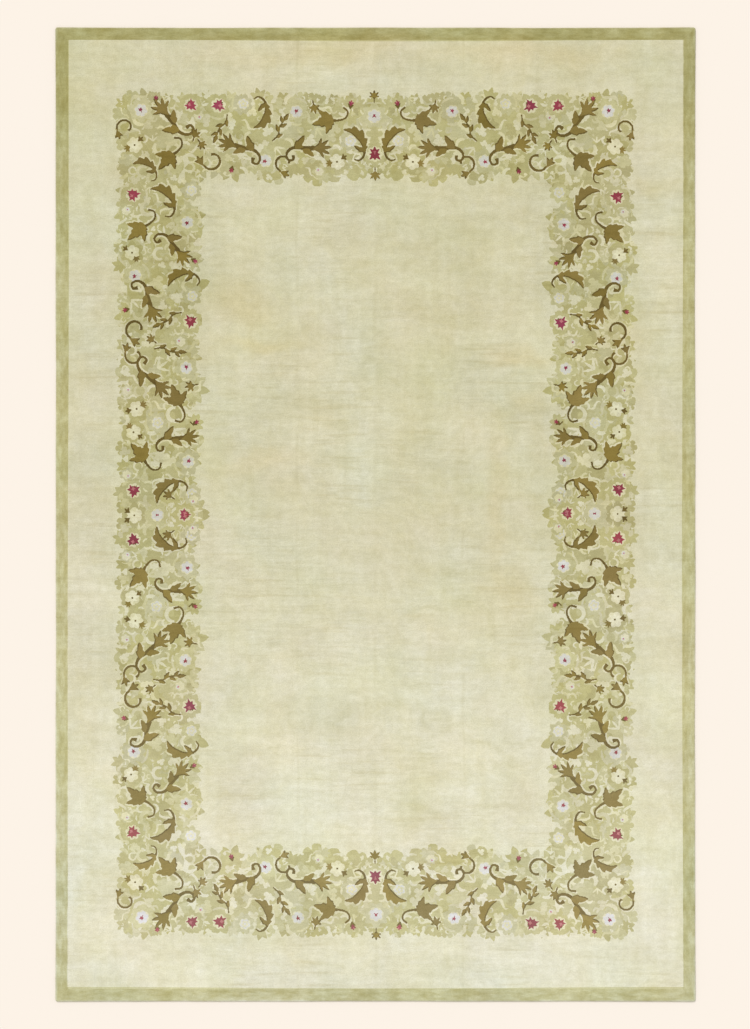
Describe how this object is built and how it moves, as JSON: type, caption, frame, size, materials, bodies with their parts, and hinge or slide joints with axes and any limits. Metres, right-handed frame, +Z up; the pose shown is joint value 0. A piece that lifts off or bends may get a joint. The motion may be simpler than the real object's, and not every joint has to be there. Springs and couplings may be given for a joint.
{
  "type": "art deco rug",
  "caption": "Room-size hand-knotted wool rug lying flat, with a pale plain centre, a leafy floral frame and an olive edge band.",
  "frame": {"origin": "middle of the flat underside, on the floor", "axes": "+Z up out of the pile, +Y along the rug's length, +X across its width"},
  "size_m": [3.2, 4.87, 0.0099],
  "materials": {
    "wool_pile": "matt cut wool pile, pale green cream with olive, sage, brown, rose and ice-white yarns"
  },
  "bodies": {
    "root": {"rug": "wool_pile"}
  },
  "joints": []
}
